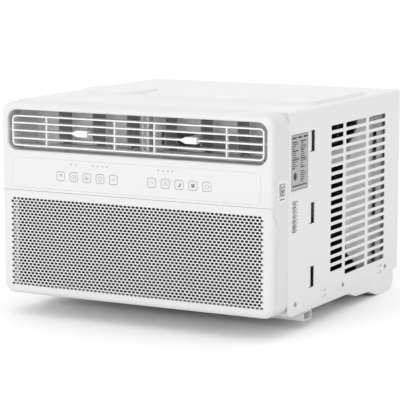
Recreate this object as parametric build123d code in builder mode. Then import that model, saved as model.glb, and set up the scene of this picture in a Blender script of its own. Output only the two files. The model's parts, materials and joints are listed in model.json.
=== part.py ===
"""Window air conditioner: steel cabinet, plastic front with a tilting louver, and the parts inside.

Millimetres, +Z up. The origin is the middle of the smallest box round the unit, on its underside. The
front faces -Y, and +X is the right-hand side seen from the front.
"""

from build123d import *
from math import radians, sin, cos
import os

os.makedirs("parts", exist_ok=True)

# Driving dimensions of the case.
WIDTH = 525.0
HEIGHT = 336.0
DEPTH = 545.0
WRAP_BEND = 6.0  # outer radius of the bends between the cabinet's top and sides
EMBOSSING = 5.5  # height of the raised fields on the top
REAR_OPENING = 450.0  # width left open between the rear flanges
SUMP_DROP = 38.0  # how far the rear of the base pan hangs below the cabinet's lower edge
SHEET = 1.2  # painted steel of the cabinet and pan
FASCIA_DEPTH = 54.0
FASCIA_WALL = 3.0
FACE_CORNER = 20.0  # corner radius of the front, seen from the front
FACE_EDGE = 9.0  # rounding of the front edges
PANEL_TOP = 183.5  # top of the intake panel
PANEL_FLANGE = 9.0  # depth of the intake panel's side flanges
GAP = 0.5  # air gap round parts that move or come off

# Louver bay and the frame that tilts in it.
BAY_WIDTH = 497.6
BAY_HEIGHT = 70.3
BAY_UP = 288.35  # height of the bay's centre
BAY_CORNER = 17.0
BAY_DEPTH = 36.0
BAY_BEVEL = 1.6
LOUVER_WIDTH = 484.4
LOUVER_HEIGHT = 53.0
LOUVER_UP = 287.0
LOUVER_FRONT = 4.0
LOUVER_REAR = 22.0
LOUVER_PIVOT = 13.0  # distance of the tilt axis behind the front face
BLADE_PITCH = 13.25
BLADE = 2.3
RIB_REAR = 12.0
RIBS = [-173.4, -38.3, 38.3, 173.4]
KNOB_X = 105.0

# Vanes behind the louver, three on each side.
DUCT_FLOOR = 256.0
DUCT_ROOF = 321.0
DUCT_WIDTH = 494.0
DUCT_WALL = 2.5
DUCT_REAR = 96.0
VANE_X = [-173.0, -105.0, -37.0, 37.0, 105.0, 173.0]
VANE_PIVOT = 86.0
VANE_LEVER = 36.0
VANE_THICKNESS = 1.6
PIN_FIT = 0.05  # radial running clearance of pivots

# Control panel.
OVERLAY_WIDTH = 475.0
OVERLAY_LOW = 189.0
OVERLAY_HIGH = 241.0
OVERLAY_THICKNESS = 0.9
KEY_SIDE = 16.0
KEY_UP = 212.7
KEY_PITCH = 26.0
KEY_NAMES = ["remote", "timer", "mode", "eco", "down", "up", "fan", "sleep", "speed", "power"]
KEY_X = [-141.9 + KEY_PITCH * n for n in range(5)] + [36.1 + KEY_PITCH * n for n in range(5)]
LIGHT_UP = 234.0
LIGHT_X = [-120.9, -111.5, -77.6, -68.4, -59.3, -50.4, 48.9, 58.2, 67.1, 76.2]
REMOTE_X = 101.5

# Blower, motor and condenser fan share one axis, parallel to Y.
AXIS_UP = 140.0
SHAFT_RADIUS = 6.0
WHEEL_RADIUS = 84.0
FAN_RADIUS = 152.0
BULKHEAD = 184.0


def facing(back):
    """Plane parallel to the front face and this far behind it: local x to the right, local y up."""
    return Plane(origin=(0, back - DEPTH / 2, SUMP_DROP), x_dir=(1, 0, 0), z_dir=(0, -1, 0))


def beside(x):
    """Plane parallel to the right side: local x is the distance behind the front face, local y is up."""
    return Plane(origin=(x, -DEPTH / 2, SUMP_DROP), x_dir=(0, 1, 0), z_dir=(1, 0, 0))


def level(up):
    """Horizontal plane: local x to the right, local y is the distance behind the front face."""
    return Plane(origin=(0, -DEPTH / 2, SUMP_DROP + up), x_dir=(1, 0, 0), z_dir=(0, 0, 1))


def box(x_range, back_range, up_range):
    """A plain block given by its limits, made apart from any builder."""
    size = [high - low for low, high in (x_range, back_range, up_range)]
    middle = [(low + high) / 2 for low, high in (x_range, back_range, up_range)]
    return Pos(middle[0], middle[1] - DEPTH / 2, middle[2] + SUMP_DROP) * Box(*size, mode=Mode.PRIVATE)


# Cabinet: an upside-down U of painted steel with vent slots, side-curtain slots and an embossed top.
VENT_COLUMNS = [(228.6, 281.5, 18), (292.8, 383.5, 19), (396.5, 475.5, 19)]
VENT_TOP = 293.5
VENT_PITCH = 14.5
VENT_HEIGHT = 8.8
CURTAIN_SLOTS = [280.0, 157.5, 48.0]
LANCES = [200.0, 454.0]
SIDE_SCREWS = [(84.0, 11.8), (285.0, 11.1), (482.5, 11.7)]

with BuildPart() as cabinet_wrap:
    with BuildSketch(facing(FASCIA_DEPTH)):
        with Locations((0, HEIGHT / 2)):
            Rectangle(WIDTH, HEIGHT)
            corners = vertices().group_by(Axis.Y)[-1]
        fillet(corners, WRAP_BEND)
    extrude(amount=-(DEPTH - FASCIA_DEPTH))
    with BuildSketch(facing(FASCIA_DEPTH)):
        with Locations((0, HEIGHT / 2 - SHEET)):
            Rectangle(WIDTH - 2 * SHEET, HEIGHT)
            corners = vertices().group_by(Axis.Y)[-1]
        fillet(corners, WRAP_BEND - SHEET)
    extrude(amount=-(DEPTH - FASCIA_DEPTH), mode=Mode.SUBTRACT)
    # Corner plates that close the space behind the rounded corners of the front.
    with BuildSketch(facing(FASCIA_DEPTH)):
        for side in (-1, 1):
            with BuildLine():
                Polyline(
                    (side * 250.5, 312),
                    (side * (WIDTH / 2 - SHEET / 2), 312),
                    (side * (WIDTH / 2 - SHEET / 2), HEIGHT - WRAP_BEND),
                    (side * (WIDTH / 2 - WRAP_BEND), HEIGHT - SHEET / 2),
                    (side * 238, HEIGHT - SHEET / 2),
                    (side * 238, 325),
                    (side * 250.5, 325),
                    close=True,
                )
            make_face()
    extrude(amount=-SHEET)
    # Flange that stiffens the rear opening.
    with BuildSketch(facing(DEPTH - SHEET)):
        with Locations((0, HEIGHT / 2)):
            Rectangle(WIDTH - SHEET, HEIGHT - SHEET)
            corners = vertices().group_by(Axis.Y)[-1]
        fillet(corners, WRAP_BEND - SHEET / 2)
        with Locations((0, HEIGHT / 2)):
            Rectangle(REAR_OPENING, HEIGHT, mode=Mode.SUBTRACT)
        with Locations((0, HEIGHT - 8)):
            Rectangle(REAR_OPENING + 10, 14)
    extrude(amount=-SHEET)
    # Vent slots through both sides.
    with BuildSketch(beside(0)):
        for start, stop, rows in VENT_COLUMNS:
            for row in range(rows):
                with Locations(((start + stop) / 2, VENT_TOP - row * VENT_PITCH)):
                    RectangleRounded(stop - start, VENT_HEIGHT, 3.0)
        for up in CURTAIN_SLOTS:
            with Locations((149.5, up)):
                Rectangle(20, 36)
        for back in LANCES:
            for up in (16.6, 5.2):
                with Locations((back, up)):
                    Rectangle(20, 2)
                with Locations((back + 5, up)):
                    RectangleRounded(11, 5, 1.6)
        for back, up in SIDE_SCREWS:
            with Locations((back, up)):
                Circle(2.1)
    extrude(amount=WIDTH, both=True, mode=Mode.SUBTRACT)
    # Bent tabs on the front side of the curtain slots.
    for side in (-1, 1):
        with BuildSketch(level(0)):
            with BuildLine():
                Polyline(
                    (side * (WIDTH / 2), 139.0),
                    (side * (WIDTH / 2), 140.0),
                    (side * (WIDTH / 2 - 1.5), 142.5),
                    (side * (WIDTH / 2 - 1.5), 148.5),
                    (side * (WIDTH / 2 - 1.5 - SHEET), 148.5),
                    (side * (WIDTH / 2 - 1.5 - SHEET), 142.0),
                    (side * (WIDTH / 2 - SHEET), 139.0),
                    close=True,
                )
            make_face()
        tab = extrude(amount=34, mode=Mode.PRIVATE)
        for up in CURTAIN_SLOTS:
            add(Pos(0, 0, up - 17) * tab)
    # Embossing: a large raised field on the top and a round one beside it.
    for up, mode in ((HEIGHT, Mode.ADD), (HEIGHT - SHEET, Mode.SUBTRACT)):
        with BuildSketch(level(up)):
            with Locations((78, 309)):
                RectangleRounded(340, 250, 26)
            with Locations((-178, 268)):
                Circle(68)
        extrude(amount=EMBOSSING, taper=32, mode=mode)
cabinet_wrap.part.label = "cabinet_wrap"
export_step(cabinet_wrap.part, "parts/cabinet_wrap.step")

# Base pan: stamped steel tray whose rear part steps down into a sump for the slinger ring.
PAN_WIDTH = WIDTH - 2 * SHEET - 0.4
PAN_REAR = 527.0


def pan_outline(inset):
    """Side view of the pan, drawn in by `inset`: a flat front, two steps down and a rounded rear."""
    low = [
        (62, -7),
        (318, -11),
        (348, -21),
        (410, -24),
        (446, -36),
        (490, -SUMP_DROP),
        (PAN_REAR - 24, -SUMP_DROP),
    ]
    points = [(back + (inset if n == 0 else 0), up + inset) for n, (back, up) in enumerate(low)]
    with BuildLine() as outline:
        rear = PAN_REAR - inset
        FilletPolyline((points[0][0], 20 + inset), *points, radius=8 - inset / 2)
        RadiusArc(points[-1], (rear, -SUMP_DROP + 24), -(24 - inset))
        Polyline((rear, -SUMP_DROP + 24), (rear, 20 + inset), (points[0][0], 20 + inset))
    return outline.line


with BuildPart() as base_pan:
    with BuildSketch(beside(-PAN_WIDTH / 2)):
        with BuildLine():
            add(pan_outline(0))
        make_face()
    extrude(amount=PAN_WIDTH)
    with BuildSketch(beside(-PAN_WIDTH / 2 + SHEET)):
        with BuildLine():
            add(pan_outline(SHEET))
        make_face()
    extrude(amount=PAN_WIDTH - 2 * SHEET, mode=Mode.SUBTRACT)
    # Screw holes in the side flanges and the drain hole at the rear.
    with BuildSketch(beside(-WIDTH)):
        for back, up in SIDE_SCREWS:
            with Locations((back, up)):
                Circle(1.6)
    extrude(amount=2 * WIDTH, mode=Mode.SUBTRACT)
    with BuildSketch(level(-SUMP_DROP - 1)):
        with Locations((-190, 478)):
            Circle(7.0)
    extrude(amount=6, mode=Mode.SUBTRACT)
base_pan.part.label = "base_pan"
export_step(base_pan.part, "parts/base_pan.step")

# Hollow rail across the underside, which drops behind the window sill.
RAIL_BACK = (120.0, 152.0)
RAIL_UP = (-24.0, -8.6)
RAIL_WALL = 1.5
with BuildPart() as sill_rail:
    with BuildSketch(beside(-WIDTH / 2 + 0.5)):
        with Locations((sum(RAIL_BACK) / 2, sum(RAIL_UP) / 2)):
            RectangleRounded(RAIL_BACK[1] - RAIL_BACK[0], RAIL_UP[1] - RAIL_UP[0], 2.0)
            RectangleRounded(
                RAIL_BACK[1] - RAIL_BACK[0] - 2 * RAIL_WALL,
                RAIL_UP[1] - RAIL_UP[0] - 2 * RAIL_WALL,
                0.8,
                mode=Mode.SUBTRACT,
            )
    extrude(amount=WIDTH - 1)
sill_rail.part.label = "sill_rail"
export_step(sill_rail.part, "parts/sill_rail.step")

# Shell that the fascia and the intake panel are both cut from, so that their outsides run flush.
with BuildPart() as front_shell:
    with BuildSketch(facing(0)):
        with Locations((0, HEIGHT / 2)):
            RectangleRounded(WIDTH, HEIGHT, FACE_CORNER)
    extrude(amount=-(FASCIA_DEPTH - 0.4))
    fillet(front_shell.faces().sort_by(Axis.Y)[0].edges(), FACE_EDGE)
    with BuildSketch(facing(FASCIA_WALL)):
        with Locations((0, HEIGHT / 2)):
            RectangleRounded(WIDTH - 2 * FASCIA_WALL, HEIGHT - 2 * FASCIA_WALL, FACE_CORNER - FASCIA_WALL)
    extrude(amount=-FASCIA_DEPTH, mode=Mode.SUBTRACT)

# Side view of the intake panel: shallow flanges with a finger lug half-way up, and the panel's hinge line.
LUG_LOW = 119.0
LUG_HIGH = 147.0
LUG_DEPTH = 18.0
PANEL_HEEL = 6.0
FASCIA_HEEL = PANEL_FLANGE + 1.5
HINGE_BACK = 7.5
HINGE_UP = 6.2
HINGE_PIN = 1.5
HINGE_X = 200.0


def panel_side(x, grow, heel):
    """Side view, at x, of the intake panel's space, grown by a gap, and `heel` deep at its foot."""
    with BuildSketch(beside(x)) as side_view:
        with BuildLine():
            Polyline(
                (-1, -1),
                (heel, -1),
                (heel, 6),
                (PANEL_FLANGE + grow, 10),
                (PANEL_FLANGE + grow, LUG_LOW - grow),
                (LUG_DEPTH + grow, LUG_LOW - grow),
                (LUG_DEPTH + grow, LUG_HIGH + grow / 2),
                (PANEL_FLANGE / 3 + grow, PANEL_TOP - 14 + grow),
                (PANEL_FLANGE / 3 + grow, PANEL_TOP + grow),
                (-1, PANEL_TOP + grow),
                close=True,
            )
        make_face()
    return side_view.sketch


# Front fascia: white plastic frame with the louver bay, the control recess and the intake opening.
INTAKE = (452.0, 136.0)
INTAKE_UP = 92.0
FILTER = (468.0, 150.0, 5.0)
RECESS_BACK = PANEL_FLANGE + 1.0
RECESS_DEPTH = 8.5
SHELF = 2.5
BOSSES = [(-200, 194.5), (200, 194.5), (-200, 235.5), (200, 235.5)]
with BuildPart() as front_fascia:
    add(front_shell.part)
    # Everything in front of the recessed wall belongs to the intake panel.
    extrude(panel_side(-WIDTH / 2 - 1, GAP, FASCIA_HEEL), amount=WIDTH + 2, mode=Mode.SUBTRACT)
    # Recessed wall round the intake, with a rebate that takes the filter, and the shelf above it.
    with BuildSketch(facing(RECESS_BACK)):
        with Locations((0, HEIGHT / 2)):
            RectangleRounded(WIDTH - 3, HEIGHT - 3, FACE_CORNER - 1.5)
        with Locations((0, PANEL_TOP + GAP + SHELF)):
            Rectangle(WIDTH, HEIGHT, align=(Align.CENTER, Align.MIN), mode=Mode.SUBTRACT)
    extrude(amount=-RECESS_DEPTH)
    shelf_low = PANEL_TOP + GAP
    add(box((-WIDTH / 2 + 2, WIDTH / 2 - 2), (1, RECESS_BACK + 1), (shelf_low, shelf_low + SHELF)))
    with BuildSketch(facing(0)):
        with Locations((0, INTAKE_UP)):
            Rectangle(FILTER[0] + 4, FILTER[1] + 4)
    extrude(amount=-(RECESS_BACK + 6), mode=Mode.SUBTRACT)
    with BuildSketch(facing(0)):
        with Locations((0, INTAKE_UP)):
            Rectangle(*INTAKE)
    extrude(amount=-(RECESS_BACK + RECESS_DEPTH + 1), mode=Mode.SUBTRACT)
    # Room for the finger lugs of the panel's side flanges.
    for side in (-1, 1):
        extrude(panel_side(side * WIDTH / 2 - 5, GAP, FASCIA_HEEL), amount=10, mode=Mode.SUBTRACT)
    # Louver bay: an open sleeve behind a rounded window.
    with BuildSketch(facing(0)):
        with Locations((0, BAY_UP)):
            RectangleRounded(BAY_WIDTH + 4.4, BAY_HEIGHT + 4.4, BAY_CORNER + 2.2)
    extrude(amount=-BAY_DEPTH)
    with BuildSketch(facing(-1)):
        with Locations((0, BAY_UP)):
            RectangleRounded(BAY_WIDTH, BAY_HEIGHT, BAY_CORNER)
    extrude(amount=-(BAY_DEPTH + 2), mode=Mode.SUBTRACT)
    with BuildSketch(facing(0)):
        with Locations((0, BAY_UP)):
            RectangleRounded(BAY_WIDTH + 2 * BAY_BEVEL, BAY_HEIGHT + 2 * BAY_BEVEL, BAY_CORNER + BAY_BEVEL)
    extrude(amount=-BAY_BEVEL, taper=45, mode=Mode.SUBTRACT)
    with BuildSketch(beside(-BAY_WIDTH / 2 - 4)):
        with Locations((LOUVER_PIVOT, LOUVER_UP)):
            Circle(2.5 + PIN_FIT)
    extrude(amount=BAY_WIDTH + 8, mode=Mode.SUBTRACT)
    # Recess for the overlay, with openings for the keys, lights and remote window.
    with BuildSketch(facing(0)):
        with Locations((0, (OVERLAY_LOW + OVERLAY_HIGH) / 2)):
            RectangleRounded(OVERLAY_WIDTH + 0.4, OVERLAY_HIGH - OVERLAY_LOW + 0.4, 6.2)
    extrude(amount=-OVERLAY_THICKNESS, mode=Mode.SUBTRACT)
    for x, up in BOSSES:
        with BuildSketch(facing(FASCIA_WALL - 1)):
            with Locations((x, up)):
                Circle(3.5)
        extrude(amount=-9)
    with BuildSketch(facing(0)):
        for x in KEY_X:
            with Locations((x, KEY_UP)):
                RectangleRounded(KEY_SIDE + 0.8, KEY_SIDE + 0.8, 4.4)
        for x in LIGHT_X:
            with Locations((x, LIGHT_UP)):
                Circle(1.3)
        with Locations((REMOTE_X, LIGHT_UP)):
            Rectangle(8.6, 5.6)
    extrude(amount=-(FASCIA_WALL + 1), mode=Mode.SUBTRACT)
    # Hinge lugs for the intake panel, low in the recess.
    for side in (-1, 1):
        with BuildSketch(beside(side * HINGE_X - 2.5)):
            with Locations((HINGE_BACK, HINGE_UP)):
                Circle(2.8)
            with Locations((HINGE_BACK + 2, HINGE_UP)):
                Rectangle(4, 5.6)
            with Locations((HINGE_BACK, HINGE_UP)):
                Circle(HINGE_PIN + PIN_FIT, mode=Mode.SUBTRACT)
        extrude(amount=5)
    # Hole for the cord gland at the lower left.
    with BuildSketch(beside(-WIDTH / 2 - 1)):
        with Locations((36, 40)):
            Circle(7.0)
    extrude(amount=6, mode=Mode.SUBTRACT)
front_fascia.part.label = "front_fascia"
export_step(front_fascia.part, "parts/front_fascia.step")

# Rubber gland where the supply cord leaves the unit.
with BuildPart() as cord_gland:
    with BuildSketch(beside(-WIDTH / 2)):
        with Locations((36, 40)):
            Circle(6.9)
            Circle(4.0, mode=Mode.SUBTRACT)
    extrude(amount=5.0)
    with BuildSketch(beside(-WIDTH / 2 + FASCIA_WALL)):
        with Locations((36, 40)):
            Circle(9.5)
            Circle(4.0, mode=Mode.SUBTRACT)
    extrude(amount=2.5)
cord_gland.part.label = "cord_gland"
export_step(cord_gland.part, "parts/cord_gland.step")

# Intake panel: swings forward on two pins low in the recess.
PERFORATED_WALL = 1.6
with BuildPart() as grille_panel:
    add(front_shell.part)
    extrude(panel_side(-WIDTH / 2 - 1, 0, PANEL_HEEL), amount=WIDTH + 2, mode=Mode.INTERSECT)
    for side in (-1, 1):
        # Ears outboard of the fascia's lugs, with the pins that turn in them.
        with BuildSketch(beside(side * (HINGE_X + 4.5) - 1.5)):
            with Locations((HINGE_BACK, HINGE_UP)):
                Circle(2.1)
            with Locations(((HINGE_BACK + 2) / 2, HINGE_UP)):
                Rectangle(HINGE_BACK - 2, 4.2)
        extrude(amount=3)
        with BuildSketch(beside(side * HINGE_X - 5)):
            with Locations((HINGE_BACK, HINGE_UP)):
                Circle(HINGE_PIN)
        extrude(amount=10)
    # The perforated field is a thinner sheet that carries the intake holes.
    with BuildSketch(facing(PERFORATED_WALL)):
        with Locations((0, 93.2)):
            Rectangle(490, 158)
    extrude(amount=-FASCIA_WALL, mode=Mode.SUBTRACT)
grille_panel.part.label = "grille_panel"
export_step(grille_panel.part, "parts/grille_panel.step")

# Air filter: plastic frame with cross ribs and a mesh sheet.
with BuildPart() as air_filter:
    with BuildSketch(facing(RECESS_BACK + 0.6)):
        with Locations((0, INTAKE_UP)):
            Rectangle(FILTER[0], FILTER[1])
            with GridLocations(116, 72, 4, 2):
                Rectangle(110, 66, mode=Mode.SUBTRACT)
    extrude(amount=-FILTER[2])
    with BuildSketch(facing(RECESS_BACK + 0.6 + FILTER[2] / 2)):
        with Locations((0, INTAKE_UP)):
            Rectangle(FILTER[0] - 4, FILTER[1] - 4)
    extrude(amount=-0.8)
air_filter.part.label = "air_filter"
export_step(air_filter.part, "parts/air_filter.step")

# Overlay of the control panel.
with BuildPart() as control_overlay:
    with BuildSketch(facing(0)):
        with Locations((0, (OVERLAY_LOW + OVERLAY_HIGH) / 2)):
            RectangleRounded(OVERLAY_WIDTH, OVERLAY_HIGH - OVERLAY_LOW, 6.0)
        for x in KEY_X:
            with Locations((x, KEY_UP)):
                RectangleRounded(KEY_SIDE + 0.8, KEY_SIDE + 0.8, 4.4, mode=Mode.SUBTRACT)
        for x in LIGHT_X:
            with Locations((x, LIGHT_UP)):
                Circle(1.1, mode=Mode.SUBTRACT)
        with Locations((REMOTE_X, LIGHT_UP)):
            Rectangle(8.2, 5.2, mode=Mode.SUBTRACT)
    extrude(amount=-(OVERLAY_THICKNESS - 0.1))
control_overlay.part.label = "control_overlay"
export_step(control_overlay.part, "parts/control_overlay.step")

# Keys: each cap passes through the overlay and the fascia, and a flange keeps it in.
KEY_FLANGE = FASCIA_WALL + 0.4
for name, x in zip(KEY_NAMES, KEY_X):
    with BuildPart() as key:
        with BuildSketch(facing(0)):
            with Locations((x, KEY_UP)):
                RectangleRounded(KEY_SIDE, KEY_SIDE, 4.0)
        extrude(amount=-KEY_FLANGE)
        with BuildSketch(facing(KEY_FLANGE)):
            with Locations((x, KEY_UP)):
                RectangleRounded(KEY_SIDE + 3, KEY_SIDE + 3, 4.0)
        extrude(amount=-1)
        with BuildSketch(facing(KEY_FLANGE + 1)):
            with Locations((x, KEY_UP)):
                Circle(2.5)
        extrude(amount=-2.5)
    key.part.label = f"key_{name}"
    export_step(key.part, f"parts/key_{name}.step")

# Light pipes over the keys and the window of the remote receiver.
BOARD_BACK = 11.0
with BuildPart() as indicator_lights:
    with BuildSketch(facing(0.05)):
        for x in LIGHT_X:
            with Locations((x, LIGHT_UP)):
                Circle(1.0)
    extrude(amount=-(BOARD_BACK - 0.1))
indicator_lights.part.label = "indicator_lights"
export_step(indicator_lights.part, "parts/indicator_lights.step")

with BuildPart() as remote_window:
    with BuildSketch(facing(0.05)):
        with Locations((REMOTE_X, LIGHT_UP)):
            Rectangle(7.9, 4.9)
    extrude(amount=-(BOARD_BACK - 0.1))
remote_window.part.label = "remote_window"
export_step(remote_window.part, "parts/remote_window.step")

# Control board with one tactile switch behind each key.
with BuildPart() as control_board:
    with BuildSketch(facing(BOARD_BACK)):
        with Locations((0, 215)):
            Rectangle(420, 50)
    extrude(amount=-1.6)
    with BuildSketch(facing(BOARD_BACK)):
        for x in KEY_X:
            with Locations((x, KEY_UP)):
                Rectangle(6, 6)
    extrude(amount=2.6)
    with BuildSketch(facing(BOARD_BACK)):
        for x, up in BOSSES:
            with Locations((x, up)):
                Circle(1.6)
    extrude(amount=-4, mode=Mode.SUBTRACT)
control_board.part.label = "control_board"
export_step(control_board.part, "parts/control_board.step")

# Louver frame: rim, three blades and four ribs in one moulding, with a pin at each end.
with BuildPart() as louver_frame:
    with BuildSketch(facing(LOUVER_FRONT)):
        with Locations((0, LOUVER_UP)):
            RectangleRounded(LOUVER_WIDTH, LOUVER_HEIGHT, 8.0)
            RectangleRounded(LOUVER_WIDTH - 2 * BLADE, LOUVER_HEIGHT - 2 * BLADE, 5.5, mode=Mode.SUBTRACT)
            with GridLocations(1, BLADE_PITCH, 1, 3):
                Rectangle(LOUVER_WIDTH - BLADE, BLADE)
    extrude(amount=-(LOUVER_REAR - LOUVER_FRONT))
    # Shallow ribs, set back a little from the blades' front edges.
    for x in RIBS:
        with BuildSketch(beside(x - BLADE / 2)):
            with Locations(((LOUVER_FRONT + 1 + RIB_REAR) / 2, LOUVER_UP)):
                Rectangle(RIB_REAR - LOUVER_FRONT - 1, LOUVER_HEIGHT - BLADE)
        extrude(amount=BLADE)
    for side in (-1, 1):
        with BuildSketch(beside(side * (LOUVER_WIDTH / 2 + 3.5) - 4.5)):
            with Locations((LOUVER_PIVOT, LOUVER_UP)):
                Circle(2.5)
        extrude(amount=9)
louver_frame.part.label = "louver_frame"
export_step(louver_frame.part, "parts/louver_frame.step")

# Knobs that slide along the middle blade, with a fork behind that drives the middle vane of each side.
KNOB_LENGTH = 30.0
KNOB_HEIGHT = 11.0
KNOB_REAR = 33.0
BLADE_FIT = 0.35
for name, x, side in (("left_knob", -KNOB_X, -1), ("right_knob", KNOB_X, -1)):
    with BuildPart() as knob:
        with BuildSketch(facing(LOUVER_FRONT - 3)):
            with BuildLine():
                Polyline(
                    (x + side * KNOB_LENGTH / 2, LOUVER_UP - 1.6),
                    (x + side * KNOB_LENGTH / 2, LOUVER_UP + 1.6),
                    (x + side * 6, LOUVER_UP + KNOB_HEIGHT / 2),
                    (x - side * KNOB_LENGTH / 2, LOUVER_UP + KNOB_HEIGHT / 2),
                    (x - side * KNOB_LENGTH / 2, LOUVER_UP - KNOB_HEIGHT / 2),
                    (x + side * 6, LOUVER_UP - KNOB_HEIGHT / 2),
                    close=True,
                )
            make_face()
            fillet(vertices(), 1.4)
        extrude(amount=-(KNOB_REAR - LOUVER_FRONT + 5))
        fillet(knob.faces().sort_by(Axis.Y)[0].edges(), 1.0)
        # Channel that rides on the blade; the rear stays open so that the knob snaps on.
        add(
            box(
                (x - KNOB_LENGTH, x + KNOB_LENGTH),
                (LOUVER_FRONT - BLADE_FIT, KNOB_REAR + 10),
                (LOUVER_UP - BLADE / 2 - BLADE_FIT, LOUVER_UP + BLADE / 2 + BLADE_FIT),
            ),
            mode=Mode.SUBTRACT,
        )
        # Behind the grip only two thin arms run back along the blade.
        for arm in (-1, 1):
            add(
                box(
                    (x + 4.5 if arm > 0 else x - KNOB_LENGTH, x + KNOB_LENGTH if arm > 0 else x - 4.5),
                    (LOUVER_FRONT + 9, KNOB_REAR + 10),
                    (LOUVER_UP - 12, LOUVER_UP + 12),
                ),
                mode=Mode.SUBTRACT,
            )
            # Fork prongs, either side of the vane's front edge.
            add(
                box(
                    (x + arm * 3.25 - 1.25, x + arm * 3.25 + 1.25),
                    (KNOB_REAR - 1, KNOB_REAR + 9),
                    (LOUVER_UP + BLADE / 2 + BLADE_FIT, LOUVER_UP + KNOB_HEIGHT / 2 + 2),
                )
            )
        add(
            box(
                (x - 4.5, x + 4.5),
                (KNOB_REAR + 0.3, KNOB_REAR + 2),
                (LOUVER_UP - KNOB_HEIGHT / 2, LOUVER_UP + KNOB_HEIGHT / 2),
            )
        )
    knob.part.label = name
    export_step(knob.part, f"parts/{name}.step")

# Vanes: upright plates on pins, notched at the lower front where the tie bar passes.
VANE_LOW = DUCT_FLOOR + 3.0
VANE_HIGH = DUCT_ROOF - 3.0
TIE_BACK = VANE_PIVOT - VANE_LEVER
TIE_UP = DUCT_FLOOR + 6.0
TIE_THICK = 2.5
for number, x in enumerate(VANE_X, 1):
    with BuildPart() as vane:
        with BuildSketch(beside(x - VANE_THICKNESS / 2)):
            with BuildLine():
                Polyline(
                    (TIE_BACK + 9, VANE_LOW),
                    (VANE_PIVOT + 3, VANE_LOW),
                    (VANE_PIVOT + 3, VANE_HIGH),
                    (46.0, VANE_HIGH),
                    (46.0, TIE_UP + 6),
                    (TIE_BACK + 9, TIE_UP + 6),
                    close=True,
                )
            make_face()
        extrude(amount=VANE_THICKNESS)
        with BuildSketch(level(DUCT_FLOOR - 1.5)):
            with Locations((x, VANE_PIVOT)):
                Circle(2.0)
        extrude(amount=DUCT_ROOF - DUCT_FLOOR + 3)
        with BuildSketch(level(TIE_UP - TIE_THICK - 0.6)):
            with Locations((x, TIE_BACK)):
                Circle(1.2)
        extrude(amount=TIE_THICK + 8)
    vane.part.label = f"vane_{number}"
    export_step(vane.part, f"parts/vane_{number}.step")

# Tie bars: one bar joins the three vanes of a side; its slots leave room for the pins' arcs.
for name, xs in (("left_tie_bar", VANE_X[:3]), ("right_tie_bar", VANE_X[3:])):
    with BuildPart() as tie_bar:
        with BuildSketch(level(TIE_UP - TIE_THICK)):
            with Locations((xs[1], TIE_BACK + 1)):
                RectangleRounded(xs[2] - xs[0] + 14, 11.0, 4.0)
            with Locations(*[(x, TIE_BACK + 1) for x in xs]):
                SlotOverall(6.2, 3.8, rotation=90, mode=Mode.SUBTRACT)
        extrude(amount=TIE_THICK)
    tie_bar.part.label = name
    export_step(tie_bar.part, f"parts/{name}.step")

# Centre post: a channel from the duct's floor to its roof that steadies the louver bay.
with BuildPart() as vane_post:
    with BuildSketch(level(DUCT_FLOOR)):
        with Locations((0, 51)):
            Rectangle(14, 15)
        with Locations((0, 47)):
            Rectangle(9, 12, mode=Mode.SUBTRACT)
    extrude(amount=DUCT_ROOF - DUCT_FLOOR)
vane_post.part.label = "vane_post"
export_step(vane_post.part, "parts/vane_post.step")

# Outlet duct: box behind the louver, open to the front, with the blower's throat in its rear wall.
THROAT = (4.0, 236.0, 262.0, 292.0)  # left, right, low, high
with BuildPart() as outlet_duct:
    add(
        box(
            (-DUCT_WIDTH / 2 - DUCT_WALL, DUCT_WIDTH / 2 + DUCT_WALL),
            (BAY_DEPTH + 0.4, DUCT_REAR),
            (DUCT_FLOOR - DUCT_WALL, DUCT_ROOF + DUCT_WALL),
        )
    )
    add(
        box(
            (-DUCT_WIDTH / 2, DUCT_WIDTH / 2),
            (BAY_DEPTH - 1, DUCT_REAR - DUCT_WALL),
            (DUCT_FLOOR, DUCT_ROOF),
        ),
        mode=Mode.SUBTRACT,
    )
    add(box(THROAT[:2], (DUCT_REAR - 5, DUCT_REAR + 1), THROAT[2:]), mode=Mode.SUBTRACT)
    with BuildSketch(level(DUCT_FLOOR - DUCT_WALL - 1)):
        for x in VANE_X:
            with Locations((x, VANE_PIVOT)):
                Circle(2.0 + PIN_FIT)
    extrude(amount=DUCT_ROOF - DUCT_FLOOR + 4 * DUCT_WALL, mode=Mode.SUBTRACT)
outlet_duct.part.label = "outlet_duct"
export_step(outlet_duct.part, "parts/outlet_duct.step")

# Scroll housing: volute round the blower wheel, rising into a chamber behind the duct's throat.
SCROLL_FRONT = DUCT_REAR + 1.0
SCROLL_REAR = BULKHEAD - 4.0
SCROLL_RADIUS = 112.0
INLET_RADIUS = 74.0


def scroll_outline(inset):
    """Front view of the volute, drawn in by `inset`: a round chamber, outlet box at its upper right."""
    with BuildSketch(facing(SCROLL_FRONT)) as outline:
        with Locations((0, AXIS_UP)):
            Circle(SCROLL_RADIUS - inset)
        with Locations(((THROAT[0] + THROAT[1]) / 2, (AXIS_UP + 322) / 2)):
            Rectangle(THROAT[1] - THROAT[0] + 8 - 2 * inset, 322 - AXIS_UP - 2 * inset)
    return outline.sketch


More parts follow.
